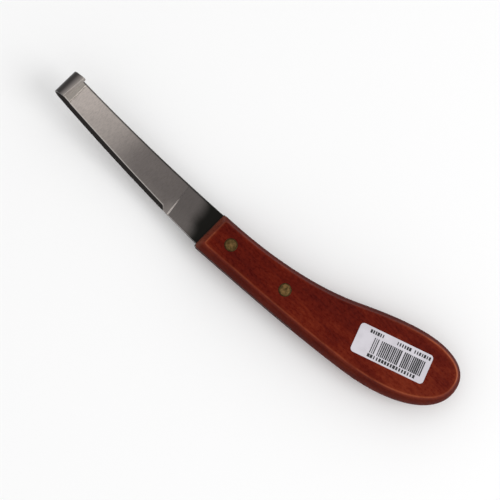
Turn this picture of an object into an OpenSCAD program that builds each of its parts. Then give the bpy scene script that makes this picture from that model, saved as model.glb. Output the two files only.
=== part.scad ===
// Hoof knife: a bowed, single-edged blade with a turned-over hook at its point,
// held by a tang in the sawn slot of a one-piece hardwood handle with two
// two-piece cutlery rivets.
//
// Row frame, millimetres: +X along the blade towards the hook, +Y towards the
// cutting edge, +Z up. The knife lies on the flat back of its handle (Z = 0),
// and the origin is midway between the two rivets.
//
// The modules work in the knife's own frame: X = 0 at the front of the wood,
// Z = 0 at the middle of the handle's thickness. in_row_frame() moves them.

/* [Handle] */
// Length of the wood from its front to the butt, along the blade's axis
handle_len = 129.6; // [105:0.1:160]
// Thickness of the wood, between the two flat faces
handle_t = 15; // [12:0.1:18.5]
// Width of the wood at its front
front_w = 20; // [19:0.1:24.5]
// Middle of the front's width, from the blade's axis towards the cutting edge
front_shift = 0.5; // [0:0.1:1]
// How far the back of the grip has swept sideways at mid length
waist_sweep = 22.9; // [19:0.1:27.5]
// How far the butt's far side lies from the blade's axis
butt_drop = 37.2; // [31:0.1:45]
// Where the palm side lies, from the blade's axis, two thirds of the way back
palm_y = 3.4; // [2.8:0.1:4.2]
// How far the rounded sides stand out past the edges of the flat faces
side_bulge = 3; // [1.5:0.1:4]
// How far the rounded front stands out past the edges of the flat faces
front_bulge = 2.7; // [1.5:0.1:4]
// Rounding of the two front corners, seen from above
corner_r = 1.5; // [0.8:0.1:2.5]

/* [Slot and tang] */
// Depth of the sawn slot, from the front of the wood
slot_depth = 58; // [54:0.5:68]
// Radius of the saw that cut the slot
saw_r = 60; // [50:1:90]
// Clearance between the tang and each side of the slot
slot_clear = 0.05; // [0.02:0.01:0.15]
// Gap between the end of the tang and the bottom of the slot
tang_end_gap = 0.4; // [0.2:0.1:1]
// How far the edges of the tang lie below the wood's sides
tang_recess = 0.3; // [0.1:0.1:1]

/* [Blade] */
// Reach of the blade, from the front of the wood to the far side of the hook
blade_reach = 91; // [75:0.5:110]
// Thickness of the steel at the heel and in the tang
heel_t = 2.6; // [2:0.1:3.2]
// Thickness of the steel at the point and in the hook
point_t = 2.1; // [1.6:0.1:2.6]
// Spine side at the heel, from the blade's axis
spine_heel = 8.9; // [7.5:0.1:9.4]
// Spine side at the point, from the blade's axis
spine_point = 6; // [5:0.1:7]
// Edge side at the heel, from the blade's axis
edge_heel = 8.9; // [7.5:0.1:9.4]
// Edge side at the point, from the blade's axis
edge_point = 6.8; // [5.8:0.1:7.8]
// Radius of the blade's lengthwise bow
bow_r = 400; // [330:5:600]

/* [Grinds] */
// Start of the face grind on the blade's axis, from the front of the wood
grind_start = 19.1; // [15:0.1:24]
// Lean of the face grind's start line, towards the handle on the edge side
grind_lean = 8; // [0:1:15]
// Unground length at the hook end of the face grind
grind_stop = 8; // [6:0.5:12]
// Depth of the face grind at the cutting edge
grind_depth = 0.65; // [0.3:0.05:0.75]
// Start of the cutting bevel at the edge, from the front of the wood
bevel_start = 20.8; // [18:0.1:28]
// Angle of the cutting bevel to the face
bevel_angle = 40; // [32:1:48]
// Where the bevel's plane meets the blade's back surface at the heel, from the axis
bevel_heel = 9.95; // [9.2:0.05:10.4]
// Where the bevel's plane meets the blade's back surface at the point, from the axis
bevel_point = 6.86; // [6.84:0.02:7.3]

/* [Hook] */
// Inner radius of the turned-over hook
hook_r = 2.7; // [2.2:0.1:3.4]
// Direction of the hook's lip, from straight ahead round to the handle
lip_angle = 150; // [130:1:170]
// Length of the straight lip, on the spine side
lip_len = 3.8; // [3:0.1:5]
// How much shorter the lip is on the cutting side
lip_skew = 1.1; // [0:0.1:1.5]
// How much the hook narrows on its spine side, up to the lip
lip_taper = 0.5; // [0:0.1:1]

/* [Rivets] */
// First rivet, from the front of the wood
rivet_setback = 11.7; // [9:0.1:14]
// First rivet, from the blade's axis
rivet_side = 0.4; // [0:0.1:1]
// Distance between the two rivets
rivet_pitch = 31.2; // [26:0.1:36]
// Turn of the rivet line from the blade's axis
rivet_turn = 4.8; // [3:0.1:7]
// Diameter of the rivet heads
head_d = 6; // [5:0.1:7.2]
// Thickness of the rivet heads
head_t = 1.6; // [1.2:0.1:2]
// Outer diameter of the rivet's tubular half
tube_d = 4; // [3.5:0.1:4.6]
// Diameter of the rivet's solid half
post_d = 2.8; // [2.3:0.1:3]
// Radial clearance of the tube in its hole
hole_clear = 0.05; // [0.02:0.01:0.15]
// Radial clearance of each head in its counterbore
head_clear = 0.04; // [0.02:0.01:0.1]
// Radial clearance of the solid half in the tube
post_clear = 0.02; // [0.01:0.01:0.05]
// Gap left at the ends of the rivet's two halves
rivet_end_gap = 0.3; // [0.1:0.1:1]

/* [Label] */
// Length of the stuck-on label
label_len = 36; // [30:0.5:42]
// Width of the stuck-on label
label_w = 14; // [12:0.5:16.5]
// Thickness of the label's paper
label_t = 0.15; // [0.1:0.05:0.3]
// Corner radius of the label
label_r = 1.7; // [1:0.1:3]
// Middle of the label, from the butt
label_from_butt = 33; // [30:0.5:38]
// Middle of the label, from the far side of the butt
label_from_side = 20.7; // [17:0.1:24]
// Turn of the label from the blade's axis
label_turn = 19; // [15:1:24]

/* [Hidden] */
$fn = 96;

half_t = handle_t / 2;
overrun = 3;             // how far cutting shapes reach past what they cut
room = 400;              // more than the knife's whole length

// Arc through the edges of the two flat faces, for the sides and for the front.
function arc_radius(bulge) = (half_t * half_t + bulge * bulge) / (2 * bulge);
side_r = arc_radius(side_bulge);
front_r = arc_radius(front_bulge);
function side_inset(z) = side_r - sqrt(side_r * side_r - z * z);

// Row origin, midway between the rivets, in the knife's own frame.
origin_x = -rivet_setback - rivet_pitch / 2 * cos(rivet_turn);
origin_y = -rivet_side - rivet_pitch / 2 * sin(rivet_turn);

// --- The handle's outline at mid thickness: five cubic curves, end to end ---

function unit(v) = v / norm(v);
function curve_point(c, t) =
    pow(1 - t, 3) * c[0] + 3 * t * pow(1 - t, 2) * c[1]
    + 3 * t * t * (1 - t) * c[2] + pow(t, 3) * c[3];
function curve_heading(c, t) =
    unit(pow(1 - t, 2) * (c[1] - c[0]) + 2 * t * (1 - t) * (c[2] - c[1])
         + t * t * (c[3] - c[2]));

// A curve from point a, leaving along heading u, to point b, arriving along v.
// The two reaches say how far the curve holds each heading.
function curve(a, u, reach_a, b, v, reach_b) =
    [a, a + unit(u) * reach_a, b - unit(v) * reach_b, b];

spine_front = [0, front_shift - front_w / 2];
edge_front = [0, front_shift + front_w / 2];
waist = [-0.53 * handle_len, -waist_sweep];
belly = [-0.87 * handle_len, -butt_drop];
butt = [-handle_len, 13.6 - butt_drop];
palm = [-0.663 * handle_len, palm_y];

waist_heading = [-1, -0.45];
palm_heading = [1, 0.13];
outline_curves = [
    curve(spine_front, [-1, -0.02], 0.18 * handle_len, waist, waist_heading, 0.162 * handle_len),
    curve(waist, waist_heading, 0.09 * handle_len, belly, [-1, 0], 0.108 * handle_len),
    curve(belly, [-1, 0], 0.085 * handle_len, butt, [0, 1], 8.9),
    curve(butt, [0, 1], 12.7, palm, palm_heading, 0.203 * handle_len),
    curve(palm, palm_heading, 0.23 * handle_len, edge_front, [1, 0.06], 0.223 * handle_len)];
outline_steps = [12, 8, 9, 18, 12];

// Each entry is [point, outward normal].
function outline_entry(c, t) =
    let(h = curve_heading(c, t)) [curve_point(c, t), [-h[1], h[0]]];
outline = [
    [spine_front + [overrun, 0], [0, -1]],
    for (i = [0:len(outline_curves) - 1])
        for (k = [0:outline_steps[i] - 1])
            outline_entry(outline_curves[i], k / outline_steps[i]),
    outline_entry(outline_curves[4], 1),
    [edge_front + [overrun, 0], [0, 1]]];

function inset_outline(gap) = [for (e = outline) e[0] - gap * e[1]];

// --- Handle ---

// A stack of outline rings follows the rounded side from face to face.
module side_loft() {
    levels = 10;
    reach = asin(half_t / side_r) * 1.04;
    n = len(outline);
    heights = [for (k = [0:levels]) side_r * sin(reach * (2 * k / levels - 1))];
    points = [for (z = heights) each [for (p = inset_outline(side_inset(z))) [p[0], p[1], z]]];
    walls = [for (k = [0:levels - 1]) for (i = [0:n - 1])
        let(j = (i + 1) % n, a = k * n, b = a + n)
        each [[a + i, a + j, b + j], [a + i, b + j, b + i]]];
    // The two faces are ladders between the spine side and the edge side.
    rungs = [for (i = [0:n / 2 - 2]) let(j = n - 1 - i)
        each [[i, j, j - 1], [i, j - 1, i + 1]]];
    top = levels * n;
    bottom_face = [for (f = rungs) [f[2], f[1], f[0]]];
    top_face = [for (f = rungs) [top + f[0], top + f[1], top + f[2]]];
    polyhedron(points, concat(walls, bottom_face, top_face));
}

// Flat faces and the rounded front: a bar along Y whose front end is an arc.
module front_and_faces() {
    intersection() {
        translate([-room, -room / 2, -half_t]) cube([room, room, handle_t]);
        union() {
            translate([-front_r, 0, 0]) rotate([90, 0, 0])
                cylinder(r = front_r, h = room, center = true);
            translate([-room - front_r, -room / 2, -half_t]) cube([room, room, handle_t]);
        }
    }
}

// Plan of the front with its two rounded corners.
module front_plan(inset = 0) {
    w = front_w - 2 * inset;
    translate([0, front_shift]) {
        translate([-room, -room / 2]) square([room - corner_r, room]);
        translate([-2 * corner_r, corner_r - w / 2]) square([2 * corner_r, w - 2 * corner_r]);
        for (side = [-1, 1]) translate([-corner_r, side * (w / 2 - corner_r)]) circle(corner_r);
    }
}

// What the saw takes out: a disc whose rim reaches slot_depth into the wood.
module saw_cut(thickness, short = 0) {
    translate([saw_r - slot_depth, 0, 0])
        cylinder(r = saw_r - short, h = thickness, center = true);
}

module at_rivets(which = [0, 1]) {
    for (i = which)
        translate([-rivet_setback, -rivet_side, 0]) rotate(rivet_turn)
            translate([-i * rivet_pitch, 0, 0]) children();
}

module rivet_holes_in_wood() {
    at_rivets() {
        cylinder(d = tube_d + 2 * hole_clear, h = handle_t + overrun, center = true);
        for (side = [-1, 1]) translate([0, 0, side * half_t])
            cylinder(d = head_d + 2 * head_clear, h = 2 * head_t, center = true);
    }
}

module handle() {
    color("sienna") difference() {
        intersection() {
            side_loft();
            front_and_faces();
            linear_extrude(handle_t + overrun, center = true) front_plan();
        }
        saw_cut(heel_t + 2 * slot_clear);
        rivet_holes_in_wood();
    }
}

// --- Blade ---

// The bowed strip runs from the heel to the hook's start, turned by point_slope.
hook_mid_r = hook_r + point_t / 2;
hook_outer_r = hook_r + point_t;
hook_x = blade_reach - hook_outer_r;
point_slope = asin((hook_x) / (bow_r - hook_mid_r));
hook_z = bow_r - (bow_r - hook_mid_r) * cos(point_slope);
point_x = bow_r * sin(point_slope);
point_z = bow_r * (1 - cos(point_slope));
face_up = [-sin(point_slope), cos(point_slope)];

// Radius of the surface that leaves the heel level at height z0 and passes
// through the point [x, z].
function bow_through(p, z0) = (p[0] * p[0] + pow(p[1] - z0, 2)) / (2 * (p[1] - z0));
face_r = bow_through([point_x, point_z] + face_up * point_t / 2, heel_t / 2);
back_r = bow_through([point_x, point_z] - face_up * point_t / 2, -heel_t / 2);

// Turns a shape of revolution so that its axis lies along Y at height z.
module about_y(z) {
    translate([0, 0, z]) rotate([-90, 0, 0]) children();
}

// Everything between the bowed face and the bowed back.
module bowed_strip() {
    difference() {
        about_y(back_r - heel_t / 2)
            cylinder(r = back_r, h = 4 * front_w, center = true);
        about_y(face_r + heel_t / 2)
            cylinder(r = face_r, h = 5 * front_w, center = true);
    }
}

// Side lines of the blade: the spine is a shallow curve, the edge falls away
// towards the point.
function spine_y(x) = let(s = x / point_x) -spine_heel + (spine_heel - spine_point) * s * (1.55 - 0.55 * s);
function edge_y(x) = let(s = x / point_x) edge_heel - (edge_heel - edge_point) * pow(s, 1.6);

module blade_plan() {
    steps = 12;
    ahead = point_x + overrun;
    polygon([
        [-corner_r, -spine_heel],
        for (k = [0:steps]) let(x = ahead * k / steps) [x, spine_y(x)],
        for (k = [steps:-1:0]) let(x = ahead * k / steps) [x, edge_y(x)],
        [-corner_r, edge_heel]]);
}

// Cuts the face down from the spine towards the edge, between two sloping ends.
module face_grind() {
    flank = 50;          // slope of the grind's end walls
    y0 = -spine_heel;
    y1 = edge_heel + overrun;
    depth1 = grind_depth * (y1 - y0) / (edge_heel - y0);
    stop_x = point_x - grind_stop + hook_outer_r;
    intersection() {
        about_y(face_r + heel_t / 2) rotate_extrude()
            polygon([[face_r - overrun, y0], [face_r, y0], [face_r + depth1, y1], [face_r - overrun, y1]]);
        translate([grind_start, 0, heel_t / 2]) rotate([0, 0, grind_lean]) rotate([0, 90 - flank, 0])
            translate([0, -room / 4, -room / 4]) cube([room, room / 2, room / 2]);
        translate([stop_x, 0, point_z]) rotate([0, flank - 90, 0])
            translate([-room, -room / 4, -room / 4]) cube([room, room / 2, room / 2]);
    }
}

// The cutting bevel, straight in plan, with a ramp at its heel end.
module cutting_bevel() {
    rise = tan(bevel_angle);
    yaw = atan((bevel_heel - bevel_point) / point_x);
    deep = 3 * overrun;
    intersection() {
        translate([0, bevel_heel, 0]) rotate(-yaw) about_y(back_r - heel_t / 2) rotate_extrude()
            polygon([[back_r + overrun * rise, overrun], [back_r - deep * rise, -deep],
                     [back_r - deep * rise, overrun]]);
        translate([bevel_start, edge_heel, 0]) rotate([0, 0, 45])
            translate([0, -room / 4, -room / 4]) cube([room, room / 2, room / 2]);
    }
}

// Section across the hook's strip: x is the distance from the hook's axis and
// y runs towards the spine. The curl and then the lip are each a hair slimmer
// than what they grow from, so that the three overlap.
module hook_section(slim) {
    slope = tan(bevel_angle);
    blunt = (bevel_point - edge_point) * slope;
    run = (point_t - blunt) / slope;
    polygon([[hook_r + slim, spine_point - slim], [hook_outer_r - slim, spine_point - slim],
             [hook_outer_r - slim, slim - edge_point], [hook_outer_r - slim - blunt, slim - edge_point],
             [hook_r + slim, run - edge_point + 2 * slim]]);
}

module hook() {
    slim = 0.02;
    lap_angle = 3;
    lap = 0.15;
    turn = lip_angle - point_slope;
    skew = lip_skew / (spine_point + edge_point);
    rise = 2 * hook_outer_r + lip_len;
    difference() {
        translate([point_x, 0, point_z]) rotate([0, -point_slope, 0]) translate([0, 0, hook_mid_r])
            rotate([90, 90, 0]) {
                rotate(-lap_angle) rotate_extrude(angle = turn + lap_angle) hook_section(slim);
                rotate(turn) intersection() {
                    translate([0, lip_len, 0]) rotate([90, 0, 0])
                        linear_extrude(lip_len + lap) hook_section(2 * slim);
                    // skewed end of the lip
                    rotate([0, 90, 0]) linear_extrude(3 * hook_outer_r)
                        polygon([[-front_w, -overrun], [front_w, -overrun],
                                 [front_w, lip_len - skew * (front_w + spine_point)],
                                 [-front_w, lip_len + skew * (front_w - spine_point)]]);
                }
            }
        // narrowing of the spine side, up to the lip
        translate([0, -spine_point, point_z]) rotate([-atan(lip_taper / rise), 0, 0])
            translate([0, -overrun, 0]) cube([room, overrun, room]);
    }
}

module tang() {
    linear_extrude(heel_t, center = true) intersection() {
        polygon(inset_outline(tang_recess));
        front_plan(tang_recess);
        translate([-room - slot_clear, -room / 2]) square([room, room]);
    }
}

module rivet_holes_in_tang() {
    at_rivets() cylinder(d = tube_d + 4 * hole_clear, h = 2 * heel_t, center = true);
}

module blade() {
    color("silver") {
        difference() {
            union() {
                intersection() {
                    tang();
                    saw_cut(handle_t, short = tang_end_gap);
                }
                difference() {
                    intersection() {
                        union() {
                            bowed_strip();
                            translate([-2 * corner_r, -front_w, -heel_t / 2])
                                cube([2 * corner_r, 2 * front_w, heel_t]);
                        }
                        linear_extrude(4 * handle_t, center = true) blade_plan();
                        // ends square to the strip where the hook starts
                        translate([point_x, 0, point_z]) rotate([0, -point_slope, 0])
                            translate([-room, -room / 2, -2 * point_x]) cube([room, room, 4 * point_x]);
                        translate([-room / 2, -room / 2, -room / 4]) cube([room, room, room / 2]);
                    }
                    face_grind();
                    cutting_bevel();
                }
            }
            rivet_holes_in_tang();
        }
        hook();
    }
}

// --- Rivets ---

rim = 0.15;              // broken corner round each rivet head

// A head whose flat top is level with z = 0 and whose body lies below.
module rivet_head() {
    translate([0, 0, -rim]) cylinder(d1 = head_d, d2 = head_d - 2 * rim, h = rim);
    translate([0, 0, -head_t]) cylinder(d = head_d, h = head_t - rim);
}

tube_len = handle_t - head_t - rivet_end_gap;

module rivet_post(i) {
    color("goldenrod") at_rivets([i]) {
        translate([0, 0, half_t]) rivet_head();
        translate([0, 0, head_t + 2 * rivet_end_gap - half_t])
            cylinder(d = post_d, h = handle_t - 2 * head_t - 2 * rivet_end_gap);
    }
}

module rivet_tube(i) {
    color("goldenrod") at_rivets([i]) difference() {
        union() {
            translate([0, 0, -half_t]) rotate([180, 0, 0]) rivet_head();
            translate([0, 0, head_t - half_t]) cylinder(d = tube_d, h = tube_len - head_t);
        }
        translate([0, 0, head_t + rivet_end_gap - half_t])
            cylinder(d = post_d + 2 * post_clear, h = handle_t);
    }
}

// --- Label ---

module label() {
    inner = [label_len / 2 - label_r, label_w / 2 - label_r];
    color("white")
        translate([label_from_butt - handle_len, label_from_side - butt_drop, half_t])
            rotate(label_turn) linear_extrude(label_t) {
                square([label_len, 2 * inner[1]], center = true);
                square([2 * inner[0], label_w], center = true);
                for (sx = [-1, 1]) for (sy = [-1, 1])
                    translate([sx * inner[0], sy * inner[1]]) circle(label_r);
            }
}

// --- Nodes ---

module in_row_frame() {
    translate([-origin_x, -origin_y, half_t]) children();
}

in_row_frame() handle();
in_row_frame() blade();
in_row_frame() rivet_post(0);  // front_rivet_post
in_row_frame() rivet_tube(0);  // front_rivet_tube
in_row_frame() rivet_post(1);  // rear_rivet_post
in_row_frame() rivet_tube(1);  // rear_rivet_tube
in_row_frame() label();
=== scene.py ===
import math

import bmesh
import bpy
import numpy as np
from mathutils import Matrix, Vector


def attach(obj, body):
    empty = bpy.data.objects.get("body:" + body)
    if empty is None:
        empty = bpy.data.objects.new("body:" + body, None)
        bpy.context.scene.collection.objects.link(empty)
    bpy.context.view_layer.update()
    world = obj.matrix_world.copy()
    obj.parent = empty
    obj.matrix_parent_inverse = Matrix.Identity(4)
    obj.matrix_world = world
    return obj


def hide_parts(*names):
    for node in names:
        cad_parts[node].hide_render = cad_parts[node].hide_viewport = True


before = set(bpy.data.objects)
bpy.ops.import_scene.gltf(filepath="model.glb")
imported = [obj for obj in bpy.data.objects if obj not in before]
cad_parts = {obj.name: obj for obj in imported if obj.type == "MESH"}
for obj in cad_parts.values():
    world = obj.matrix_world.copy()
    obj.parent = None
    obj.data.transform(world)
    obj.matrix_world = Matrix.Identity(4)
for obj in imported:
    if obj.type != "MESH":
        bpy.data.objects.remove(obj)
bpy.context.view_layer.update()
print("frame loaded")

# Shapes are worked out in millimetres from the front of the wood, the blade's axis and mid thickness
knife = {
    "frontX": 27.2453,  # front of the wood, in the row frame
    "axisY": 1.7054,
    "midZ": 7.5,
    "rivets": [(-11.7, -0.4), (-42.79, -3.01)],
}


def placed(points):
    shift = np.array([knife["frontX"], knife["axisY"], knife["midZ"]])
    return (np.asarray(points, float) + shift) / 1000


def newPiece(name, points, faces, smoothAngle=30, marks=None):
    mesh = bpy.data.meshes.new(name)
    mesh.from_pydata(placed(points).tolist(), [], faces)
    for key, values in (marks or {}).items():
        mesh.attributes.new(key, "FLOAT", "POINT").data.foreach_set("value", np.asarray(values, np.float32))
    bm = bmesh.new()
    bm.from_mesh(mesh)
    bmesh.ops.remove_doubles(bm, verts=bm.verts, dist=1e-7)
    bmesh.ops.recalc_face_normals(bm, faces=bm.faces)
    bm.to_mesh(mesh)
    bm.free()
    piece = bpy.data.objects.new(name, mesh)
    bpy.context.scene.collection.objects.link(piece)
    smoothed(piece, smoothAngle)
    return piece


def smoothed(piece, angle):
    piece.data.polygons.foreach_set("use_smooth", [True] * len(piece.data.polygons))
    piece.data.set_sharp_from_angle(angle=math.radians(angle))


def vertexPositions(piece):
    flat = np.empty(len(piece.data.vertices) * 3)
    piece.data.vertices.foreach_get("co", flat)
    return flat.reshape(-1, 3) * 1000 - np.array([knife["frontX"], knife["axisY"], knife["midZ"]])


def addAttribute(piece, name, values):
    made = piece.data.attributes.new(name, "FLOAT", "POINT")
    made.data.foreach_set("value", np.asarray(values, np.float32))


def stitched(rings, closed=True, capStart=True, capEnd=True):
    points = np.vstack(rings)
    count = len(rings[0])
    faces = []
    for k in range(len(rings) - 1):
        for i in range(count if closed else count - 1):
            j = (i + 1) % count
            faces.append((k * count + i, k * count + j, (k + 1) * count + j, (k + 1) * count + i))
    if capStart:
        faces.append(tuple(range(count - 1, -1, -1)))
    if capEnd:
        faces.append(tuple(range(len(points) - count, len(points))))
    return points, faces


def cutWith(piece, cutters):
    for cutter in cutters:
        change = piece.modifiers.new("cut", "BOOLEAN")
        change.operation = "DIFFERENCE"
        change.solver = "EXACT"
        change.object = cutter
    made = bpy.data.meshes.new_from_object(piece.evaluated_get(bpy.context.evaluated_depsgraph_get()))
    piece.modifiers.clear()
    piece.data = made
    for cutter in cutters:
        bpy.data.objects.remove(cutter)


def cylinderAt(x, y, z0, z1, radius, segments=64):
    turn = np.linspace(0, 2 * math.pi, segments, endpoint=False)
    ringX, ringY = x + radius * np.cos(turn), y + radius * np.sin(turn)
    rings = [np.column_stack([ringX, ringY, np.full(segments, z)]) for z in (z0, z1)]
    return newPiece("cutter", *stitched(rings))


handle = {
    "length": 129.6,
    "thickness": 15.0,
    "frontWidth": 20.0,
    "frontShift": 0.5,
    "waistSweep": 22.9,
    "buttDrop": 37.2,
    "palmY": 3.4,
    "sideBulge": 3.0,
    "frontBulge": 2.7,
    "cornerRadius": 1.5,
    "edgeSoftness": 0.4,  # radius of the worn edge between a face and a side
    "slotDepth": 58.0,
    "sawRadius": 60.0,
    "slotWidth": 2.7,
    "headHole": 3.04,
    "tubeHole": 2.05,
    "headDepth": 1.6,
}


def unit(v):
    return np.asarray(v, float) / np.hypot(*v)


def handleOutline(perCurve=90):
    h = handle
    long = h["length"]
    spineFront = np.array([0, h["frontShift"] - h["frontWidth"] / 2])
    edgeFront = np.array([0, h["frontShift"] + h["frontWidth"] / 2])
    waist = np.array([-0.53 * long, -h["waistSweep"]])
    belly = np.array([-0.87 * long, -h["buttDrop"]])
    butt = np.array([-long, 13.6 - h["buttDrop"]])
    palm = np.array([-0.663 * long, h["palmY"]])
    waistHeading, palmHeading = [-1, -0.45], [1, 0.13]
    stretches = [
        (spineFront, [-1, -0.02], 0.18 * long, waist, waistHeading, 0.162 * long),
        (waist, waistHeading, 0.09 * long, belly, [-1, 0], 0.108 * long),
        (belly, [-1, 0], 0.085 * long, butt, [0, 1], 8.9),
        (butt, [0, 1], 12.7, palm, palmHeading, 0.203 * long),
        (palm, palmHeading, 0.23 * long, edgeFront, [1, 0.06], 0.223 * long),
    ]
    points, headings = [], []
    for k, (a, u, reachA, b, v, reachB) in enumerate(stretches):
        c = [a, a + unit(u) * reachA, b - unit(v) * reachB, b]
        last = k == len(stretches) - 1
        for t in np.linspace(0, 1, perCurve, endpoint=last):
            r = 1 - t
            points.append(r ** 3 * c[0] + 3 * t * r ** 2 * c[1] + 3 * t * t * r * c[2] + t ** 3 * c[3])
            headings.append(unit(r ** 2 * (c[1] - c[0]) + 2 * t * r * (c[2] - c[1]) + t * t * (c[3] - c[2])))
    points, headings = np.array(points), np.array(headings)
    points = np.vstack([points[0] - headings[0] * 4, points, points[-1] + headings[-1] * 4])
    headings = np.vstack([headings[0], headings, headings[-1]])
    return points, np.column_stack([-headings[:, 1], headings[:, 0]])


def arcInset(z, bulge):
    # how far a side has drawn in at height z: a wide arc, then the small worn edge
    half, soft = handle["thickness"] / 2, handle["edgeSoftness"]
    radius = (half * half + bulge * bulge) / (2 * bulge)
    centreZ = half - soft
    centreIn = radius - math.sqrt((radius - soft) ** 2 - centreZ ** 2)
    z = abs(z)
    if z <= radius * centreZ / (radius - soft):
        return radius - math.sqrt(radius * radius - z * z)
    return centreIn - math.sqrt(max(soft * soft - (z - centreZ) ** 2, 0))


def resampled(line, count):
    gone = np.concatenate([[0], np.cumsum(np.hypot(*np.diff(line, axis=0).T))])
    want = np.linspace(0, gone[-1], count)
    return np.column_stack([np.interp(want, gone, line[:, 0]), np.interp(want, gone, line[:, 1])])


def handleRing(outline, normals, z, extra=0.0):
    inset = arcInset(z, handle["sideBulge"]) + extra
    frontX = -arcInset(z, handle["frontBulge"]) - extra
    corner = handle["cornerRadius"]
    line = outline - normals * inset
    limit = frontX - corner
    inside = np.where(line[:, 0] < limit)[0]
    first, last = inside[0], inside[-1]
    def crossing(a, b):
        t = (limit - a[0]) / (b[0] - a[0])
        return a + (b - a) * t
    start = crossing(line[first - 1], line[first])
    end = crossing(line[last], line[last + 1])
    side = resampled(np.vstack([start, line[first:last + 1], end]), 420)
    turn = np.linspace(0, math.pi / 2, 8)[1:]
    edgeCorner = np.column_stack([limit + corner * np.sin(turn), end[1] - corner + corner * np.cos(turn)])
    spineY = start[1] + corner - corner * np.sin(turn)
    spineCorner = np.column_stack([limit + corner * np.cos(turn), spineY])[:-1]
    front = np.column_stack([np.full(14, frontX), np.linspace(edgeCorner[-1][1], start[1] + corner, 14)])[1:]
    ring = np.vstack([side, edgeCorner, front, spineCorner])
    return np.column_stack([ring, np.full(len(ring), z)])


def makeHandle():
    outline, normals = handleOutline()
    half, soft = handle["thickness"] / 2, handle["edgeSoftness"]
    bulge = handle["sideBulge"]
    radius = (half * half + bulge * bulge) / (2 * bulge)
    tip = math.asin((half - soft) / (radius - soft))
    heights = [radius * math.sin(a) for a in np.linspace(0, tip, 15)]
    heights += [half - soft + soft * math.sin(a) for a in np.linspace(tip, math.pi / 2, 7)[1:]]
    levels = [(z, 0.0) for z in heights] + [(half, 0.15), (half, 0.4), (half, 0.9), (half, 1.8)]
    levels = [(-z, extra) for z, extra in levels[:0:-1]] + levels
    rings = [handleRing(outline, normals, z, extra) for z, extra in levels]
    piece = newPiece("handleWood", *stitched(rings))
    sawX, slotHalf = handle["sawRadius"] - handle["slotDepth"], handle["slotWidth"] / 2
    saw = cylinderAt(sawX, 0, -slotHalf, slotHalf, handle["sawRadius"], 360)
    holes = [cylinderAt(x, y, -9, 9, handle["tubeHole"]) for x, y in knife["rivets"]]
    for x, y in knife["rivets"]:
        holes.append(cylinderAt(x, y, half - handle["headDepth"], 9, handle["headHole"], 96))
        holes.append(cylinderAt(x, y, -9, handle["headDepth"] - half, handle["headHole"], 96))
    cutWith(piece, [saw] + holes)
    smoothed(piece, 30)
    # how near each point is to the worn edges, and how far round the side it lies
    at = vertexPositions(piece)
    inset = np.empty(len(at))
    nearest = np.empty(len(at), int)
    for k in range(0, len(at), 2000):
        block = at[k:k + 2000, None, :2] - outline[None]
        gap = np.hypot(block[..., 0], block[..., 1])
        near = gap.argmin(axis=1)
        inset[k:k + 2000] = gap[np.arange(len(near)), near]
        nearest[k:k + 2000] = near
    edgeZ = np.abs(at[:, 2]) - half
    toSideEdge = np.hypot(inset - bulge, edgeZ)
    pastFront = at[:, 0] + handle["frontBulge"]
    toFrontEdge = np.hypot(pastFront, edgeZ)
    toFrontEdge[inset < bulge] += 2 * (bulge - inset[inset < bulge])
    toSideEdge[pastFront > 0] += 2 * pastFront[pastFront > 0]
    addAttribute(piece, "edgeDistance", np.minimum(np.minimum(toSideEdge, toFrontEdge), 20))
    # painted edge highlight, weighted: strongest on the palm side and the butt, hardly any on the spine side
    facing = normals[nearest]
    palmSide = np.clip(facing[:, 1], 0, 1)
    butt = np.clip((-at[:, 0] - 84) / 30, 0, 1)
    butt *= np.clip(0.75 - 0.6 * facing[:, 1] + 0.2 * facing[:, 0], 0.25, 1)
    front = np.clip((at[:, 0] + 6) / 4, 0, 1) * 0.15
    addAttribute(piece, "edgeHighlightWeight", np.clip(0.05 + 0.20 * palmSide + 0.85 * butt + front, 0, 1))
    # how far down a side wall a point lies: painted shade there, which also dulls the gloss
    addAttribute(piece, "sideShade", np.clip((bulge - 0.3 - inset) / 1.0, 0, 1))
    return piece


wood = makeHandle()
print("handle:", len(wood.data.polygons), "faces")

blade = {
    "reach": 91.0,
    "heelThick": 2.6,
    "pointThick": 2.1,
    "spineHeel": 8.9,
    "spinePoint": 6.0,
    "edgeHeel": 8.9,
    "edgePoint": 6.8,
    "bowRadius": 400.0,
    "grindStart": 19.1,
    "grindLean": 8.0,
    "grindStop": 8.0,
    "grindDepth": 0.65,
    "grindFlank": 46.0,
    "bevelStart": 20.8,
    "bevelAngle": 40.0,
    "bevelHeel": 9.95,
    "bevelPoint": 6.86,
    "hookRadius": 2.7,
    "hookSlim": 0.06,
    "hookFrom": 0.3,  # heading, in radians, past which the steel counts as hook
    "lipAngle": 150.0,
    "lipLength": 3.8,
    "lipSkew": 1.1,
    "lipTaper": 0.5,
    "brokenEdge": 0.3,  # small chamfer along the spine
    "tangJoin": -0.1,  # just behind the front of the wood
    "tangRecess": 0.3,
    "tangEndGap": 0.4,
    "tangHole": 2.1,
    "faceRows": 56,  # points across the face, the bevel and the back of each ring
    "bevelRows": 6,
    "backRows": 9,
}


steelMarks = ("bevelMark", "paintedHighlightMark", "spineMark", "curlMark", "groundMark", "dimMark", "stopMark")


def softMin(a, b, blend=0.06):
    mix = np.clip(0.5 + 0.5 * (b - a) / blend, 0, 1)
    return b * (1 - mix) + a * mix - blend * mix * (1 - mix)


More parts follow.
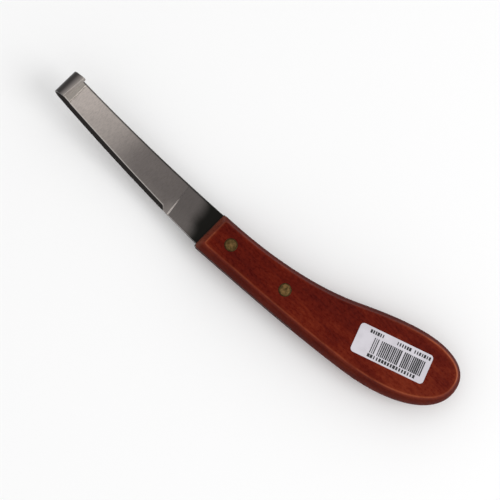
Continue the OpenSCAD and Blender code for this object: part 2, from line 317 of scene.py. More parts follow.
def bladeStations():
    b = blade
    midHook = b["hookRadius"] + b["pointThick"] / 2
    hookX = b["reach"] - b["hookRadius"] - b["pointThick"]
    slope = math.asin(hookX / (b["bowRadius"] - midHook))
    pointX = b["bowRadius"] * math.sin(slope)
    xs = np.unique(np.concatenate([
        np.arange(b["tangJoin"], 17, 0.4), np.arange(17, 23.5, 0.1), np.arange(23.5, 82, 0.4),
        np.arange(82, 84.5, 0.1), np.linspace(84.5, pointX, 8)]).round(4))
    stations = []  # centre x, centre z, heading, thickness, share of the lip
    for x in xs:
        if x <= 0:
            stations.append((x, 0.0, 0.0, b["heelThick"], 0.0))
            continue
        turn = math.asin(x / b["bowRadius"])
        thick = b["heelThick"] + (b["pointThick"] - b["heelThick"]) * turn / slope
        stations.append((x, b["bowRadius"] * (1 - math.cos(turn)), turn, thick, 0.0))
    axisX = hookX
    axisZ = b["bowRadius"] - (b["bowRadius"] - midHook) * math.cos(slope)
    lip = math.radians(b["lipAngle"])
    for turn in np.linspace(slope, lip, 44)[1:]:
        thick = b["pointThick"] - b["hookSlim"] * min((turn - slope) / 0.3, 1)
        here = (axisX + midHook * math.sin(turn), axisZ - midHook * math.cos(turn))
        stations.append((*here, turn, thick, 0.0))
    for share in np.linspace(0, 1, 14)[1:]:
        stations.append((*here, lip, thick, share))
    return stations, pointX


def bladeRing(station, pointX):
    b = blade
    x, z, turn, thick, share = station
    onHook = turn > b["hookFrom"]
    face, bevelEnd = b["faceRows"], b["faceRows"] + b["bevelRows"]
    grindWidth = b["edgeHeel"] + b["spineHeel"]
    s = 1.0 if onHook else min(max(x, 0) / pointX, 1)
    spine = -b["spineHeel"] + (b["spineHeel"] - b["spinePoint"]) * s * (1.55 - 0.55 * s)
    edge = b["edgeHeel"] - (b["edgeHeel"] - b["edgePoint"]) * s ** 1.6
    if onHook:
        spine += b["lipTaper"] * min(1.0, (turn - b["hookFrom"]) / 2.3)
    rise = math.tan(math.radians(b["bevelAngle"]))
    bevelFoot = b["bevelHeel"] + (b["bevelPoint"] - b["bevelHeel"]) * s
    lean = math.radians(b["grindLean"])
    flank = math.tan(math.radians(b["grindFlank"]))
    stopX = pointX - b["grindStop"] + b["hookRadius"] + b["pointThick"]

    def grind(y):
        if onHook or x < 5:  # the hook and the heel are left full thickness
            return np.zeros_like(y)
        wedge = b["grindDepth"] * np.clip((y + b["spineHeel"]) / grindWidth, 0, 1.2)
        start = flank * np.maximum((x - b["grindStart"]) * math.cos(lean) + y * math.sin(lean), 0)
        stop = flank * max(stopX - x, 0) * np.ones_like(y)
        return np.maximum(softMin(softMin(wedge, start), stop), 0)

    fullEdgeHeight = (bevelFoot - edge) * rise  # flat left below the bevel
    ridge = edge
    for _ in range(6):  # where the bevel meets the ground face
        top = thick - b["grindDepth"] * (ridge + b["spineHeel"]) / grindWidth
        ridge = edge - (top - fullEdgeHeight) / rise
    full = edge - ridge
    width = full if onHook else min(full, max(0.03, x - b["bevelStart"]))
    ridge = edge - width
    c = b["brokenEdge"]
    faceY = np.linspace(spine + c, ridge, face)
    faceN = thick / 2 - grind(faceY)
    bevelY = np.linspace(ridge, edge, b["bevelRows"] + 1)[1:]
    bevelN = faceN[-1] - (bevelY - ridge) * rise * (1 if width > 0.05 else 0)
    low = 0.06 - thick / 2  # the small chamfer under the edge
    sharp = fullEdgeHeight < 0.08 and width >= full - 1e-6
    backY = np.linspace(edge - 0.06, spine + c, b["backRows"])
    ring = np.vstack([
        np.column_stack([faceY, faceN]),
        np.column_stack([bevelY, bevelN]),
        [[edge, min(bevelN[-1], low) if sharp else low]],
        np.column_stack([backY, np.full(len(backY), -thick / 2)]),
        [[spine, -thick / 2 + c], [spine, thick / 2 - c]],
    ])
    along = np.zeros(len(ring))
    if share > 0:
        skew = b["lipSkew"] / (b["spinePoint"] + b["edgePoint"])
        along = share * (b["lipLength"] - skew * (ring[:, 0] + b["spinePoint"]))
    # what the finish needs to know: bevel (painted dark reflection), painted highlight lines, dark spine,
    # outer curl (painted shade), ground face
    count = len(ring)
    marks = {key: np.zeros(count) for key in steelMarks}
    if width > 0.05:
        # painted dark reflection on the bevel
        marks["bevelMark"][face:bevelEnd + 1] = 1
    if onHook or x > b["bevelStart"] - 0.4:
        marks["paintedHighlightMark"][face - 1] = 1
    if onHook:
        marks["groundMark"][:face] = 1
        # painted shade along the hook's outer curl
        around = (turn - b["hookFrom"]) / (math.radians(b["lipAngle"]) - b["hookFrom"])
        marks["curlMark"][bevelEnd + 1:count - 1] = 0.25 + 0.75 * around if share == 0 else 1 + share
    else:
        start = (x - b["grindStart"]) * math.cos(lean) + faceY * math.sin(lean)
        wedge = b["grindDepth"] * (faceY + b["spineHeel"]) / grindWidth
        onFlank = (start > -0.1) & (flank * start < wedge + 0.12)
        # painted highlight on the flank where the grind starts
        paintedLight = np.maximum(marks["paintedHighlightMark"][:face], onFlank * np.clip((faceY + 1) / 7, 0, 1))
        marks["paintedHighlightMark"][:face] = paintedLight
        marks["groundMark"][:face] = np.clip(start / 0.25 + 0.5, 0, 1)
        # painted shade on the flank, to tone down its reflection
        marks["dimMark"][:face] = onFlank * np.clip((2.5 - faceY) / 3, 0, 1)
        # painted light past the grind stop
        marks["stopMark"][:face] = np.clip((x - stopX + wedge / flank) / 0.3 + 1.6, 0, 1)
    marks["spineMark"][count - 2:] = 1
    marks["spineMark"][:3] = (1, 0.9, 0.35)
    # the lip's end painted as a highlight
    if share > 0.999:
        marks["paintedHighlightMark"][:] = 1
    out = np.empty((len(ring), 3))
    out[:, 0] = x + along * math.cos(turn) - ring[:, 1] * math.sin(turn)
    out[:, 1] = ring[:, 0]
    out[:, 2] = z + along * math.sin(turn) + ring[:, 1] * math.cos(turn)
    return out, marks


def makeTang():
    outline, normals = handleOutline(40)
    line = outline - normals * blade["tangRecess"]
    limit = blade["tangJoin"]
    inside = np.where(line[:, 0] < limit)[0]
    line = np.vstack([[limit, line[inside[0]][1]], line[inside], [limit, line[inside[-1]][1]]])
    radius = handle["sawRadius"] - blade["tangEndGap"]
    centre = handle["sawRadius"] - handle["slotDepth"]
    keep = np.hypot(line[:, 0] - centre, line[:, 1]) < radius
    early = np.arange(len(line)) < len(line) / 2
    low, high = line[keep & early], line[keep & ~early]
    a0 = math.atan2(low[-1][1], low[-1][0] - centre) % (2 * math.pi)
    a1 = math.atan2(high[0][1], high[0][0] - centre) % (2 * math.pi)
    arc = [(centre + radius * math.cos(a), radius * math.sin(a)) for a in np.linspace(a0, a1, 30)]
    ring = np.vstack([low, arc, high])
    half = blade["heelThick"] / 2
    rings = [np.column_stack([ring, np.full(len(ring), z)]) for z in (-half, half)]
    tang = newPiece("tang", *stitched(rings))
    cutWith(tang, [cylinderAt(x, y, -3, 3, blade["tangHole"]) for x, y in knife["rivets"]])
    return tang


def makeBlade():
    stations, pointX = bladeStations()
    made = [bladeRing(station, pointX) for station in stations]
    marks = {key: np.concatenate([m[key] for _, m in made]) for key in made[0][1]}
    piece = newPiece("bladeSteel", *stitched([ring for ring, _ in made]), smoothAngle=24, marks=marks)
    tang = makeTang()
    bm = bmesh.new()
    bm.from_mesh(piece.data)
    bm.from_mesh(tang.data)
    bm.to_mesh(piece.data)
    bm.free()
    bpy.data.objects.remove(tang)
    smoothed(piece, 24)
    return piece


steel = makeBlade()
print("blade:", len(steel.data.polygons), "faces")

rivet = {
    "headRadius": 3.0,
    "headThick": 1.6,
    "tubeRadius": 2.0,
    "postRadius": 1.4,
    "dome": 0.07,  # the sanded heads stand a hair higher in the middle
    "endGap": 0.3,
}


def lathed(name, profile, x, y, segments=72):
    turn = np.linspace(0, 2 * math.pi, segments, endpoint=False)
    cosine, sine = np.cos(turn), np.sin(turn)
    rings = [np.column_stack([x + r * cosine, y + r * sine, np.full(segments, z)]) for r, z in profile]
    closedLoop = profile[0][0] > 0.01
    points, faces = stitched(rings, capStart=not closedLoop, capEnd=not closedLoop)
    if closedLoop:  # a tube's profile runs back to its start
        n, last = segments, (len(rings) - 1) * segments
        faces += [(last + i, last + (i + 1) % n, (i + 1) % n, i) for i in range(n)]
    return newPiece(name, points, faces)


def headProfile(face, inward):
    r, dome = rivet["headRadius"], rivet["dome"]
    rows = [(share * r, face + inward * dome * share ** 2) for share in np.linspace(0.002, 0.955, 14)]
    rim = [(0.985 * r, face + inward * (dome + 0.05)), (r, face + inward * (dome + 0.16))]
    return rows + rim + [(r, face + inward * rivet["headThick"])]


def makeRivets():
    half = handle["thickness"] / 2
    made = []
    for name, (x, y) in zip(("front", "rear"), knife["rivets"]):
        neck = half - rivet["headThick"]  # where a head meets its post or tube
        low, tubeTop, floor = 2 * rivet["endGap"] - neck, neck - rivet["endGap"], rivet["endGap"] - neck
        postR, tubeR, bore = rivet["postRadius"], rivet["tubeRadius"], rivet["postRadius"] + 0.02
        post = headProfile(half, -1) + [(postR, neck), (postR, low), (0.004, low)]
        tube = headProfile(-half, 1) + [
            (tubeR, -neck), (tubeR, tubeTop), (bore, tubeTop), (bore, floor), (0.004, floor)]
        made.append((lathed(name + "RivetPost", post, x, y), name + "_rivet_post"))
        made.append((lathed(name + "RivetTube", tube, x, y), name + "_rivet_tube"))
    return made


rivets = makeRivets()
print("rivets:", len(rivets))

label = {
    "length": 36.0,
    "width": 14.0,
    "thick": 0.15,
    "cornerRadius": 1.7,
    "centre": (-96.6, -16.5),
    "turn": 19.0,
    "inkThick": 0.012,
}


def labelTurned(points):
    a = math.radians(label["turn"])
    flat = np.asarray(points, float)
    out = flat.copy()
    out[:, 0] = label["centre"][0] + flat[:, 0] * math.cos(a) - flat[:, 1] * math.sin(a)
    out[:, 1] = label["centre"][1] + flat[:, 0] * math.sin(a) + flat[:, 1] * math.cos(a)
    return out


def makeLabel():
    r = label["cornerRadius"]
    halfL, halfW = label["length"] / 2 - r, label["width"] / 2 - r
    ring = []
    corners = ((halfL, halfW, 0), (-halfL, halfW, 90), (-halfL, -halfW, 180), (halfL, -halfW, 270))
    for cx, cy, start in corners:
        for a in np.linspace(start, start + 90, 10):
            ring.append((cx + r * math.cos(math.radians(a)), cy + r * math.sin(math.radians(a))))
    ring = np.array(ring)
    base = handle["thickness"] / 2
    rings = [np.column_stack([ring, np.full(len(ring), z)]) for z in (base, base + label["thick"])]
    points, faces = stitched(rings)
    return newPiece("labelPaper", labelTurned(points), faces)


paper = makeLabel()

# plain printed marks that spell nothing: where they start along the label, and how they repeat
printing = {
    "bars": {
        "count": 29, "start": -15.2, "offset": 0.5, "pitch": 0.88,
        "height": 7.2, "seed": 11, "keep": 0.94},
    "topDashes": {
        "count": 14, "start": -16.6, "offset": -5.1, "pitch": 1.22,
        "height": 1.6, "seed": 4, "keep": 0.9},
    "frontDashes": {
        "count": 6, "start": 6.6, "offset": -5.1, "pitch": 1.15,
        "height": 1.6, "seed": 8, "keep": 1.0},
    "lowDashes": {
        "count": 18, "start": -14.4, "offset": 5.35, "pitch": 1.4,
        "height": 1.6, "seed": 15, "keep": 0.9},
}


def addNode(tree, kind, inputs=None, **settings):
    made = tree.nodes.new(kind)
    for name, value in settings.items():
        setattr(made, name, value)
    for name, value in (inputs or {}).items():
        socket = made.inputs[name]
        if socket.is_unavailable or not socket.enabled:
            socket = next(s for s in made.inputs if s.name == name and s.enabled)
        if isinstance(value, bpy.types.NodeSocket):
            tree.links.new(value, socket)
        else:
            socket.default_value = value
    return made


def barTree():
    tree = bpy.data.node_groups.new("printedBars", "GeometryNodeTree")
    tree.interface.new_socket(name="Geometry", in_out="OUTPUT", socket_type="NodeSocketGeometry")
    for name in ("Count", "Seed"):
        tree.interface.new_socket(name=name, in_out="INPUT", socket_type="NodeSocketInt")
    for name in ("Pitch", "Height", "Start", "Offset", "Keep"):
        tree.interface.new_socket(name=name, in_out="INPUT", socket_type="NodeSocketFloat")
    tree.interface.new_socket(name="Ink", in_out="INPUT", socket_type="NodeSocketMaterial")
    given = tree.nodes.new("NodeGroupInput").outputs
    start = addNode(tree, "ShaderNodeCombineXYZ", {"X": given["Start"], "Y": given["Offset"]})
    step = addNode(tree, "ShaderNodeCombineXYZ", {"X": given["Pitch"]})
    line = addNode(tree, "GeometryNodeMeshLine", {
        "Count": given["Count"], "Start Location": start.outputs[0], "Offset": step.outputs[0]})
    width = addNode(tree, "FunctionNodeRandomValue", {
        "Min": 0.34, "Max": 0.9, "Seed": given["Seed"]}, data_type="FLOAT")
    widthX = addNode(tree, "ShaderNodeMath", {
        0: width.outputs["Value"], 1: given["Pitch"]}, operation="MULTIPLY")
    size = addNode(tree, "ShaderNodeCombineXYZ", {
        "X": widthX.outputs[0], "Y": given["Height"], "Z": label["inkThick"] / 1000})
    cube = addNode(tree, "GeometryNodeMeshCube", {"Size": (1, 1, 1)})
    keep = addNode(tree, "FunctionNodeRandomValue", {
        "Probability": given["Keep"], "Seed": given["Seed"]}, data_type="BOOLEAN")
    copies = addNode(tree, "GeometryNodeInstanceOnPoints", {
        "Points": line.outputs[0], "Instance": cube.outputs[0],
        "Scale": size.outputs[0], "Selection": keep.outputs["Value"]})
    real = addNode(tree, "GeometryNodeRealizeInstances", {"Geometry": copies.outputs[0]})
    inked = addNode(tree, "GeometryNodeSetMaterial", {"Geometry": real.outputs[0], "Material": given["Ink"]})
    result = tree.nodes.new("NodeGroupOutput")
    tree.links.new(inked.outputs[0], result.inputs[0])
    return tree


def makePrinting(ink):
    tree = barTree()
    made = []
    for name, row in printing.items():
        holder = bpy.data.objects.new(name, bpy.data.meshes.new(name))
        bpy.context.scene.collection.objects.link(holder)
        change = holder.modifiers.new("bars", "NODES")
        change.node_group = tree
        values = {
            "Count": row["count"], "Seed": row["seed"],
            "Pitch": row["pitch"] / 1000, "Height": row["height"] / 1000,
            "Start": row["start"] / 1000, "Offset": row["offset"] / 1000, "Keep": row["keep"], "Ink": ink}
        for item in tree.interface.items_tree:
            if item.item_type == "SOCKET" and item.in_out == "INPUT":
                change[item.identifier] = values[item.name]
        mesh = bpy.data.meshes.new_from_object(holder.evaluated_get(bpy.context.evaluated_depsgraph_get()))
        holder.modifiers.clear()
        holder.data = mesh
        flat = np.empty(len(mesh.vertices) * 3)
        mesh.vertices.foreach_get("co", flat)
        points = flat.reshape(-1, 3) * 1000
        points[:, 2] += handle["thickness"] / 2 + label["thick"]
        mesh.vertices.foreach_set("co", placed(labelTurned(points)).ravel())
        mesh.update()
        made.append(holder)
    return made


def newMaterial(name):
    material = bpy.data.materials.new(name)
    material.use_nodes = True
    tree = material.node_tree
    tree.nodes.clear()
    return material, tree


def finished(tree, shader):
    out = tree.nodes.new("ShaderNodeOutputMaterial")
    tree.links.new(shader.outputs[0], out.inputs["Surface"])


def ramp(tree, factor, stops):
    made = addNode(tree, "ShaderNodeValToRGB", {"Fac": factor})
    elements = made.color_ramp.elements
    while len(elements) < len(stops):
        elements.new(0.5)
    for element, (position, colour) in zip(elements, stops):
        element.position = position
        element.color = (*colour, 1) if len(colour) == 3 else colour
    return made.outputs["Color"]


def mathNode(tree, operation, a, b=None, clamp=False):
    inputs = {0: a}
    if b is not None:
        inputs[1] = b
    return addNode(tree, "ShaderNodeMath", inputs, operation=operation, use_clamp=clamp).outputs[0]


def mapRange(tree, value, low, high, toLow=0.0, toHigh=1.0, smooth=True):
    return addNode(tree, "ShaderNodeMapRange", {
        "Value": value, "From Min": low, "From Max": high, "To Min": toLow, "To Max": toHigh},
        interpolation_type="SMOOTHSTEP" if smooth else "LINEAR").outputs["Result"]


def mixColour(tree, factor, a, b):
    made = tree.nodes.new("ShaderNodeMix")
    made.data_type = "RGBA"
    for socket, value in ((made.inputs[0], factor), (made.inputs[6], a), (made.inputs[7], b)):
        if isinstance(value, bpy.types.NodeSocket):
            tree.links.new(value, socket)
        else:
            socket.default_value = value if not isinstance(value, tuple) or len(value) == 4 else (*value, 1)
    return made.outputs[2]


def knifeCoords(tree):
    # millimetres from the front of the wood, on the blade's axis
    coords = tree.nodes.new("ShaderNodeTexCoord").outputs["Object"]
    shift = (-knife["frontX"] / 1000, -knife["axisY"] / 1000, -knife["midZ"] / 1000)
    moved = addNode(tree, "ShaderNodeVectorMath", {0: coords, 1: shift}, operation="ADD").outputs[0]
    return addNode(tree, "ShaderNodeVectorMath", {0: moved, "Scale": 1000}, operation="SCALE").outputs[0]


def stretchedNoiseGroup():
    # noise drawn out along one direction: grain, brush marks and smudges
    tree = bpy.data.node_groups.new("drawnNoise", "ShaderNodeTree")
    tree.interface.new_socket(name="Vector", in_out="INPUT", socket_type="NodeSocketVector")
    tree.interface.new_socket(name="Fineness", in_out="INPUT", socket_type="NodeSocketVector")
    for name in ("Detail", "Roughness", "Low", "High"):
        tree.interface.new_socket(name=name, in_out="INPUT", socket_type="NodeSocketFloat")
    tree.interface.new_socket(name="Value", in_out="OUTPUT", socket_type="NodeSocketFloat")
    given = tree.nodes.new("NodeGroupInput").outputs
    scaled = addNode(tree, "ShaderNodeVectorMath", {
        0: given["Vector"], 1: given["Fineness"]}, operation="MULTIPLY")
    noise = addNode(tree, "ShaderNodeTexNoise", {
        "Vector": scaled.outputs[0], "Scale": 1.0,
        "Detail": given["Detail"], "Roughness": given["Roughness"]})
    spread = addNode(tree, "ShaderNodeMapRange", {
        "Value": noise.outputs[0], "From Min": given["Low"], "From Max": given["High"]},
        interpolation_type="SMOOTHSTEP")
    result = tree.nodes.new("NodeGroupOutput")
    tree.links.new(spread.outputs["Result"], result.inputs["Value"])
    return tree


drawnNoise = stretchedNoiseGroup()


def noiseValue(tree, vector, fineness, detail=3.0, roughness=0.5, low=0.35, high=0.65):
    made = tree.nodes.new("ShaderNodeGroup")
    made.node_tree = drawnNoise
    tree.links.new(vector, made.inputs["Vector"])
    values = {"Fineness": fineness, "Detail": detail, "Roughness": roughness, "Low": low, "High": high}
    for name, value in values.items():
        made.inputs[name].default_value = value
    return made.outputs["Value"]


varnishedWood = {
    "dark": (0.052, 0.0022, 0.0014),
    "middle": (0.098, 0.0062, 0.0020),
    "light": (0.165, 0.0200, 0.0060),
    # painted highlight along the rounded edges
    "edgeHighlight": (0.37, 0.098, 0.040),
    # painted sheen in a band near the edges
    "edgeSheen": (0.30, 0.055, 0.018),
    "pore": (0.024, 0.002, 0.0015),
    "fleck": (0.22, 0.045, 0.014),
    # painted shade on the side walls
    "side": (0.040, 0.0050, 0.0022),
    "frontSheen": (0.15, 0.048, 0.028),
    "roughness": 0.30,
    "specular": 0.09,
}


def makeWoodMaterial():
    m = varnishedWood
    material, tree = newMaterial("varnishedWood")
    at = knifeCoords(tree)
    blotch = noiseValue(tree, at, (0.045, 0.11, 0.09), detail=2.0, low=0.3, high=0.7)
    streak = noiseValue(tree, at, (0.05, 0.8, 0.8), detail=5.0, roughness=0.6, low=0.25, high=0.75)
    mottle = noiseValue(tree, at, (0.55, 0.9, 0.9), detail=5.0, roughness=0.75, low=0.3, high=0.7)
    pores = noiseValue(tree, at, (0.7, 3.4, 3.4), detail=2.0, roughness=0.6, low=0.62, high=0.74)
    tone = mathNode(tree, "MULTIPLY", blotch, 0.34)
    tone = mathNode(tree, "ADD", tone, mathNode(tree, "MULTIPLY", streak, 0.22))
    tone = mathNode(tree, "ADD", tone, mathNode(tree, "MULTIPLY", mottle, 0.34))
    split = addNode(tree, "ShaderNodeSeparateXYZ", {0: at}).outputs
    back = mapRange(tree, split["X"], -40.0, -125.0, 0.0, 0.16)
    tone = mathNode(tree, "ADD", tone, back)
    base = ramp(tree, tone, [(0.12, m["dark"]), (0.5, m["middle"]), (0.92, m["light"])])
    base = mixColour(tree, mathNode(tree, "MULTIPLY", pores, 0.40), base, m["pore"])
    flecks = noiseValue(tree, at, (1.1, 2.6, 2.6), detail=2.0, roughness=0.6, low=0.66, high=0.76)
    base = mixColour(tree, mathNode(tree, "MULTIPLY", flecks, 0.45), base, m["fleck"])
    shade = addNode(tree, "ShaderNodeAttribute", attribute_name="sideShade").outputs["Fac"]
    # painted shade: the side walls darkened
    base = mixColour(tree, mathNode(tree, "MULTIPLY", shade, 0.5), base, m["side"])
    # painted sheen on the front end of the wood
    base = mixColour(tree, mapRange(tree, split["X"], -3.2, -0.6, 0.0, 0.55), base, m["frontSheen"])
    edge = addNode(tree, "ShaderNodeAttribute", attribute_name="edgeDistance").outputs["Fac"]
    highlightBreakup = noiseValue(tree, at, (0.12, 0.12, 0.5), detail=3.0, low=0.32, high=0.6)
    edgeHighlightWeight = addNode(tree, "ShaderNodeAttribute", attribute_name="edgeHighlightWeight").outputs["Fac"]
    # a wider painted sheen near the edges
    edgeSheen = mathNode(tree, "MULTIPLY", mapRange(tree, edge, 2.2, 0.1), mathNode(tree, "MULTIPLY", edgeHighlightWeight, 0.25))
    base = mixColour(tree, edgeSheen, base, m["edgeSheen"])
    # painted highlight along the edges, broken up by noise
    edgeHighlight = mathNode(tree, "MULTIPLY", mapRange(tree, edge, 0.62, 0.12), edgeHighlightWeight)
    edgeHighlight = mathNode(tree, "MULTIPLY", edgeHighlight, mapRange(tree, highlightBreakup, 0.0, 1.0, 0.45, 1.0))
    base = mixColour(tree, edgeHighlight, base, m["edgeHighlight"])
    bumps = mathNode(tree, "MULTIPLY", mottle, 0.5)
    bumps = mathNode(tree, "ADD", mathNode(tree, "MULTIPLY", pores, -0.6), bumps)
    bump = addNode(tree, "ShaderNodeBump", {"Height": bumps, "Strength": 0.35, "Distance": 0.00005})
    gloss = mapRange(tree, mottle, 0.0, 1.0, m["roughness"] - 0.04, m["roughness"] + 0.06)
    gloss = mathNode(tree, "ADD", gloss, mathNode(tree, "MULTIPLY", shade, 0.25))
    sheen = mapRange(tree, shade, 0.0, 1.0, m["specular"], 0.4 * m["specular"])
    shader = addNode(tree, "ShaderNodeBsdfPrincipled", {
        "Base Color": base, "Roughness": gloss, "Specular IOR Level": sheen, "Normal": bump.outputs[0]})
    finished(tree, shader)
    return material


groundSteel = {
    "paintedLight": (0.71, 0.63, 0.582),
    "ricasso": (0.262, 0.230, 0.217),
    "ground": (0.355, 0.31, 0.293),
    "plungeHighlight": (0.56, 0.50, 0.47),
    "stopHighlight": (0.40, 0.362, 0.325),
    "dim": (0.125, 0.110, 0.105),
    "drawnMarks": (0.12, 0.11, 0.105),
    "speckle": (0.10, 0.095, 0.09),
    "smudge": (0.16, 0.15, 0.145),
    "brushed": (0.13, 0.12, 0.115),
    "heel": (0.026, 0.025, 0.022),
    "bevel": (0.020, 0.018, 0.0168),
    "line": (0.70, 0.66, 0.62),
    "roughness": 0.30,
}


def makeSteelMaterial():
    m = groundSteel
    material, tree = newMaterial("groundSteel")
    at = knifeCoords(tree)
    split = addNode(tree, "ShaderNodeSeparateXYZ", {0: at}).outputs
    marks = noiseValue(tree, at, (7.0, 0.35, 7.0), detail=4.0, roughness=0.7, low=0.3, high=0.7)
    speckle = noiseValue(tree, at, (2.6, 2.6, 2.6), detail=3.0, roughness=0.7, low=0.3, high=0.7)
    smudge = noiseValue(tree, at, (0.07, 0.12, 0.2), detail=3.0, low=0.25, high=0.75)
    mark = {key: addNode(tree, "ShaderNodeAttribute", attribute_name=key).outputs["Fac"] for key in steelMarks}
    # painted light: the ground steel lighter towards the hook, where the bow tilts it to the light
    ground = mixColour(tree, mapRange(tree, split["X"], 41.0, 66.0), m["ground"], m["paintedLight"])
    # painted highlight near the plunge, towards the edge side
    nearPlunge = mapRange(tree, split["X"], 23.5, 18.6)
    nearPlunge = mathNode(tree, "MULTIPLY", nearPlunge, mapRange(tree, split["Y"], -2.0, 8.0))
    ground = mixColour(tree, mathNode(tree, "MULTIPLY", nearPlunge, 0.95), ground, m["plungeHighlight"])
    # painted light: the steel past the grind stop, under the lip, lighter and warmer
    ground = mixColour(tree, mark["stopMark"], ground, m["stopHighlight"])
    base = mixColour(tree, mark["groundMark"], m["ricasso"], ground)
    # lighter towards the edge side, in the same colour
    base = mixColour(tree, mapRange(tree, split["Y"], 1.0, 9.5, 0.0, 0.22), base, m["plungeHighlight"])
    # painted shade that tones down the flank at the grind's start
    base = mixColour(tree, mark["dimMark"], base, m["dim"])
    base = mixColour(tree, mathNode(tree, "MULTIPLY", marks, 0.08), base, m["drawnMarks"])
    base = mixColour(tree, mathNode(tree, "MULTIPLY", speckle, 0.08), base, m["speckle"])
    base = mixColour(tree, mathNode(tree, "MULTIPLY", smudge, 0.16), base, m["smudge"])
    brushed = noiseValue(tree, at, (2.2, 0.5, 1.0), detail=4.0, roughness=0.75, low=0.38, high=0.72)
    base = mixColour(tree, mathNode(tree, "MULTIPLY", brushed, 0.26), base, m["brushed"])
    # painted dark reflection on the heel, with a soft slanting border
    slant = mathNode(tree, "ADD", split["X"], mathNode(tree, "MULTIPLY", split["Y"], 0.27))
    slant = mathNode(tree, "ADD", slant, mathNode(tree, "MULTIPLY", smudge, 1.6))
    base = mixColour(tree, mapRange(tree, slant, 12.4, 4.8), base, m["heel"])
    # the spine darkened with the bevel's colour
    base = mixColour(tree, mathNode(tree, "MULTIPLY", mark["spineMark"], 0.85), base, m["bevel"])
    # painted dark reflection on the bevel
    base = mixColour(tree, mathNode(tree, "MULTIPLY", mark["bevelMark"], 0.99), base, m["bevel"])
    # painted shade round the hook's outer curl: near black at the outer edge, lighter towards the lip
    curl = ramp(tree, mathNode(tree, "MULTIPLY", mark["curlMark"], 0.5), [
        (0.0, (0.04, 0.036, 0.034)), (0.30, (0.012, 0.011, 0.011)), (0.46, (0.035, 0.032, 0.031)),
        (0.66, (0.12, 0.108, 0.104)), (1.0, (0.30, 0.27, 0.25))])
    base = mixColour(tree, mapRange(tree, mark["curlMark"], 0.02, 0.2), base, curl)
    # painted highlight lines: the bevel's ridge, the grind's flank and the lip's end
    base = mixColour(tree, mathNode(tree, "MULTIPLY", mark["paintedHighlightMark"], 0.66), base, m["line"])
    bump = addNode(tree, "ShaderNodeBump", {"Height": marks, "Strength": 0.04, "Distance": 0.00002})
    gloss = mapRange(tree, marks, 0.0, 1.0, m["roughness"] - 0.01, m["roughness"] + 0.03)
    shader = addNode(tree, "ShaderNodeBsdfPrincipled", {
        "Base Color": base, "Roughness": gloss, "Metallic": 1.0, "Normal": bump.outputs[0]})
    finished(tree, shader)
    return material


dullBrass = {
    "middle": (0.25, 0.145, 0.056),
    "smudge": (0.065, 0.042, 0.014),
    "rim": (0.045, 0.032, 0.013),
    "roughness": 0.36,
}


def makeBrassMaterial():
    m = dullBrass
    material, tree = newMaterial("dullBrass")
    at = knifeCoords(tree)
    smudge = noiseValue(tree, at, (0.5, 0.5, 0.5), detail=3.0)
    marks = noiseValue(tree, at, (1.0, 7.0, 1.0), detail=3.0)
    flat = addNode(tree, "ShaderNodeVectorMath", {0: at, 1: (1, 1, 0)}, operation="MULTIPLY").outputs[0]
    gaps = []
    for x, y in knife["rivets"]:
        gap = addNode(tree, "ShaderNodeVectorMath", {0: flat, 1: (x, y, 0)}, operation="DISTANCE")
        gaps.append(gap.outputs["Value"])
    toCentre = mathNode(tree, "MINIMUM", gaps[0], gaps[1])
    dents = noiseValue(tree, at, (0.55, 0.55, 0.55), detail=2.0, low=0.4, high=0.6)
    base = mixColour(tree, mathNode(tree, "MULTIPLY", smudge, 0.8), m["middle"], m["smudge"])
    base = mixColour(tree, mapRange(tree, toCentre, 2.1, 2.95), base, m["rim"])
    uneven = mathNode(tree, "ADD", dents, mathNode(tree, "MULTIPLY", marks, 0.15))
    bump = addNode(tree, "ShaderNodeBump", {"Height": uneven, "Strength": 0.6, "Distance": 0.0001})
    shader = addNode(tree, "ShaderNodeBsdfPrincipled", {
        "Base Color": base, "Roughness": m["roughness"], "Metallic": 1.0, "Normal": bump.outputs[0]})
    finished(tree, shader)
    return material


printedLabel = {
    "paper": (0.62, 0.595, 0.64),
    "shadedPaper": (0.56, 0.535, 0.575),
    "ink": (0.02, 0.02, 0.022),
}


def makePaperMaterial():
    material, tree = newMaterial("labelPaper")
    at = knifeCoords(tree)
    smudge = noiseValue(tree, at, (0.15, 0.15, 0.15), detail=3.0)
    base = mixColour(tree, smudge, printedLabel["paper"], printedLabel["shadedPaper"])
    shader = addNode(tree, "ShaderNodeBsdfPrincipled", {
        "Base Color": base, "Roughness": 0.5, "Specular IOR Level": 0.3})
    finished(tree, shader)
    return material


def makeInkMaterial():
    material, tree = newMaterial("printedInk")
    shader = addNode(tree, "ShaderNodeBsdfPrincipled", {
        "Base Color": (*printedLabel["ink"], 1), "Roughness": 0.5, "Specular IOR Level": 0.3})
    finished(tree, shader)
    return material


inkMaterial = makeInkMaterial()
printed = makePrinting(inkMaterial)
brassMaterial = makeBrassMaterial()
finishes = ((wood, makeWoodMaterial()), (steel, makeSteelMaterial()), (paper, makePaperMaterial()))
for piece, material in finishes:
    piece.data.materials.clear()
    piece.data.materials.append(material)
for piece, node in rivets:
    piece.data.materials.append(brassMaterial)
print("materials done")

for piece in [wood, steel, paper] + printed + [p for p, _ in rivets]:
    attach(piece, "root")
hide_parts("handle")
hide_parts("blade")
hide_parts("label")
for piece, node in rivets:
    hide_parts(node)

studio = {
    "floorSize": 6.0,
    "floorZ": -0.0002,
    "floorColour": (0.93, 0.93, 0.93),
    "skyStrength": 1.0,
    "tilt": 11.5,  # the camera leans this far from straight above
    "roll": 44.5,
    "distance": 0.85,
    "aim": (0.00795, -0.0046, 0.0075),
    "lens": 136.6,
}


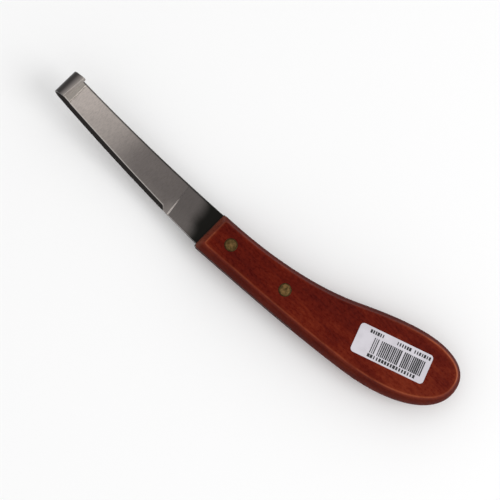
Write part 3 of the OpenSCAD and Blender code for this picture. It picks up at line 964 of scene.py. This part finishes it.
def makeFloor():
    s, z = studio["floorSize"] / 2, studio["floorZ"]
    mesh = bpy.data.meshes.new("floor")
    mesh.from_pydata([(-s, -s, z), (s, -s, z), (s, s, z), (-s, s, z)], [], [(0, 1, 2, 3)])
    floor = bpy.data.objects.new("floor", mesh)
    bpy.context.scene.collection.objects.link(floor)
    material, tree = newMaterial("paleFloor")
    diffuse = addNode(tree, "ShaderNodeBsdfDiffuse", {"Color": (*studio["floorColour"], 1)})
    finished(tree, diffuse)
    mesh.materials.append(material)


def makeSky():
    world = bpy.data.worlds.new("studioSky")
    bpy.context.scene.world = world
    world.use_nodes = True
    tree = world.node_tree
    tree.nodes.clear()
    direction = tree.nodes.new("ShaderNodeTexCoord").outputs["Generated"]
    up = addNode(tree, "ShaderNodeSeparateXYZ", {0: direction}).outputs["Z"]
    # a light tent, open and darker straight above
    colour = ramp(tree, up, [(0.0, (1, 1, 1)), (0.86, (1, 1, 1)), (0.97, (0.16, 0.16, 0.16))])
    sky = addNode(tree, "ShaderNodeBackground", {"Color": colour, "Strength": studio["skyStrength"]})
    out = tree.nodes.new("ShaderNodeOutputWorld")
    tree.links.new(sky.outputs[0], out.inputs["Surface"])


def addLamp(name, position, target, size, power):
    lamp = bpy.data.lights.new(name, "AREA")
    lamp.shape = "SQUARE"
    lamp.size = size
    lamp.energy = power
    holder = bpy.data.objects.new(name, lamp)
    holder.location = position
    holder.rotation_euler = (Vector(target) - Vector(position)).to_track_quat("-Z", "Y").to_euler()
    bpy.context.scene.collection.objects.link(holder)


def makeCamera():
    tilt, roll = math.radians(studio["tilt"]), math.radians(studio["roll"])
    along = Vector((1, 0, 0))
    across = Vector((0, math.cos(tilt), -math.sin(tilt)))
    back = Vector((0, math.sin(tilt), math.cos(tilt)))
    right = -along * math.cos(roll) - across * math.sin(roll)
    up = along * math.sin(roll) - across * math.cos(roll)
    data = bpy.data.cameras.new("camera")
    data.lens = studio["lens"]
    data.sensor_width = 36
    data.clip_start = 0.01
    camera = bpy.data.objects.new("camera", data)
    bpy.context.scene.collection.objects.link(camera)
    place = Matrix.Translation(Vector(studio["aim"]) + back * studio["distance"])
    camera.matrix_world = place @ Matrix((right, up, back)).transposed().to_4x4()
    bpy.context.scene.camera = camera


makeFloor()
makeSky()
addLamp("sideLamp", (-0.9, -0.35, 1.1), (0, 0, 0), 0.9, 6)
makeCamera()
bpy.context.scene.view_settings.view_transform = "Standard"
print("studio done")
